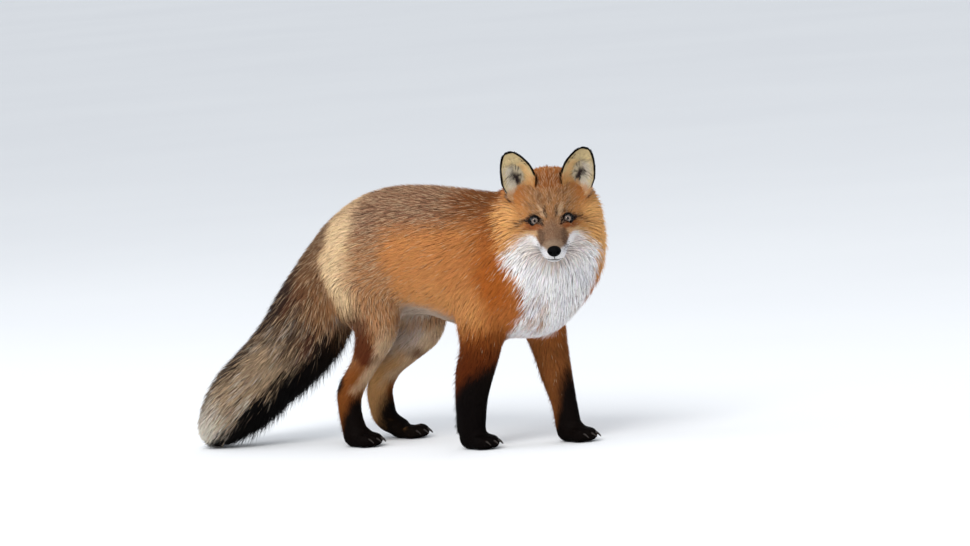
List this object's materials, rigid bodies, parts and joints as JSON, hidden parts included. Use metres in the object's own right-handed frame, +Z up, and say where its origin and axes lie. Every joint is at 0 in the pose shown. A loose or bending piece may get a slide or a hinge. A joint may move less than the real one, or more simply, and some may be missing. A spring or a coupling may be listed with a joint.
{
  "type": "red fox",
  "caption": "Life-size still model of a standing red fox in winter coat, head turned to its right and tail lowered.",
  "frame": {"origin": "on the floor, under the middle of the fox's overall box", "axes": "+X the way the body points, +Y the fox's left, +Z up; the head is turned to its right"},
  "size_m": [0.8334, 0.2378, 0.5],
  "materials": {
    "red_coat": "fur, orange-red with grizzled back",
    "face_coat": "short fur, orange with white cheeks",
    "white_coat": "fur, white",
    "dark_coat": "short fur, black",
    "grey_tail": "long fur, grey-brown with black under side",
    "pale_tail": "long fur, pale",
    "ear": "short fur, black back and cream hollow",
    "eye": "polished, amber iris with black pupil",
    "nose_skin": "moist, finely pebbled",
    "horn": "semi-gloss horn"
  },
  "bodies": {
    "root": {"belly": "red_coat", "chest": "red_coat", "claw_foreleg_left_1": "horn", "claw_foreleg_left_2": "horn", "claw_foreleg_left_3": "horn", "claw_foreleg_left_4": "horn", "claw_foreleg_right_1": "horn", "claw_foreleg_right_2": "horn", "claw_foreleg_right_3": "horn", "claw_foreleg_right_4": "horn", "claw_hind_leg_left_1": "horn", "claw_hind_leg_left_2": "horn", "claw_hind_leg_left_3": "horn", "claw_hind_leg_left_4": "horn", "claw_hind_leg_right_1": "horn", "claw_hind_leg_right_2": "horn", "claw_hind_leg_right_3": "horn", "claw_hind_leg_right_4": "horn", "ear_left": "ear", "ear_right": "ear", "eye_left": "eye", "eye_right": "eye", "forearm_left": "red_coat", "forearm_right": "red_coat", "forepaw_left": "dark_coat", "forepaw_right": "dark_coat", "head": "face_coat", "hind_foot_left": "red_coat", "hind_foot_right": "red_coat", "hind_paw_left": "dark_coat", "hind_paw_right": "dark_coat", "lower_jaw": "white_coat", "muzzle": "face_coat", "neck": "red_coat", "nose": "nose_skin", "rump": "red_coat", "shank_left": "red_coat", "shank_right": "red_coat", "tail_base": "grey_tail", "tail_middle": "grey_tail", "tail_tip": "pale_tail", "thigh_left": "red_coat", "thigh_right": "red_coat", "upper_foreleg_left": "red_coat", "upper_foreleg_right": "red_coat"}
  },
  "joints": []
}
